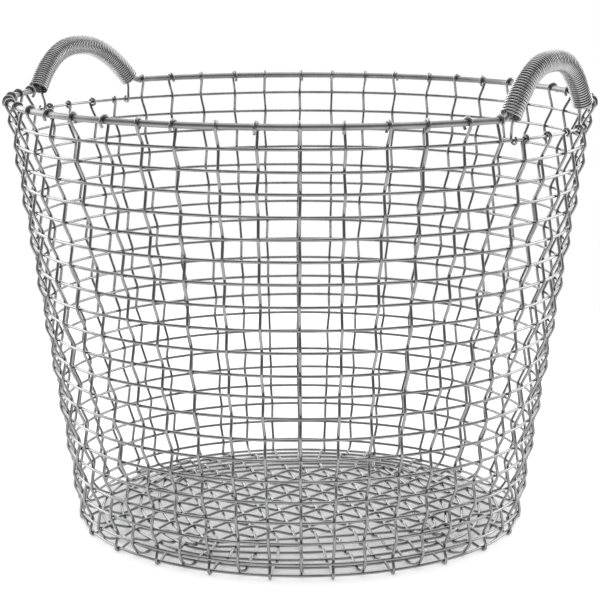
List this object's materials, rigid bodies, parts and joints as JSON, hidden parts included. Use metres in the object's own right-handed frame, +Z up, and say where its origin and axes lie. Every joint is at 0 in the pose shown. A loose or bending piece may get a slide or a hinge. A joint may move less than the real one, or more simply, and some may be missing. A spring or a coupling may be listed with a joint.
{
  "type": "wire basket",
  "caption": "Round tapered storage basket woven from bare steel wire, open at the top, with two arched carrying handles sleeved in wound wire coils.",
  "frame": {"origin": "on the floor under the middle of the basket", "axes": "+Z up, through the middle of the rim; +X towards one handle and -X towards the other"},
  "size_m": [0.5678, 0.573, 0.4718],
  "materials": {
    "wire": "satin drawn wire",
    "rod": "satin drawn rod",
    "coil": "satin drawn wire"
  },
  "bodies": {
    "root": {"upright_a_01": "wire", "upright_a_02": "wire", "upright_a_03": "wire", "upright_a_04": "wire", "upright_a_05": "wire", "upright_a_06": "wire", "upright_a_07": "wire", "upright_a_08": "wire", "upright_a_09": "wire", "upright_a_10": "wire", "upright_a_11": "wire", "upright_a_12": "wire", "upright_b_01": "wire", "upright_b_02": "wire", "upright_b_03": "wire", "upright_b_04": "wire", "upright_b_05": "wire", "upright_b_06": "wire", "upright_b_07": "wire", "upright_b_08": "wire", "upright_b_09": "wire", "upright_b_10": "wire", "upright_b_11": "wire", "upright_b_12": "wire", "wall_hoop_01": "wire", "wall_hoop_02": "wire", "wall_hoop_03": "wire", "wall_hoop_04": "wire", "wall_hoop_05": "wire", "wall_hoop_06": "wire", "wall_hoop_07": "wire", "wall_hoop_08": "wire", "wall_hoop_09": "wire", "wall_hoop_10": "wire", "wall_hoop_11": "wire", "wall_hoop_12": "wire", "wall_hoop_13": "wire", "wall_hoop_14": "wire", "wall_hoop_15": "wire", "wall_hoop_16": "wire", "wall_hoop_17": "wire", "wall_hoop_18": "wire", "wall_hoop_19": "wire", "wall_hoop_20": "wire", "foot_hoop": "wire", "base_hoop_01": "wire", "base_hoop_02": "wire", "base_hoop_03": "wire", "base_hoop_04": "wire", "base_hoop_05": "wire", "tie_wire_right": "wire", "tie_wire_left": "wire", "rim_rod": "rod", "handle_coil_right": "coil", "handle_coil_left": "coil"}
  },
  "joints": []
}
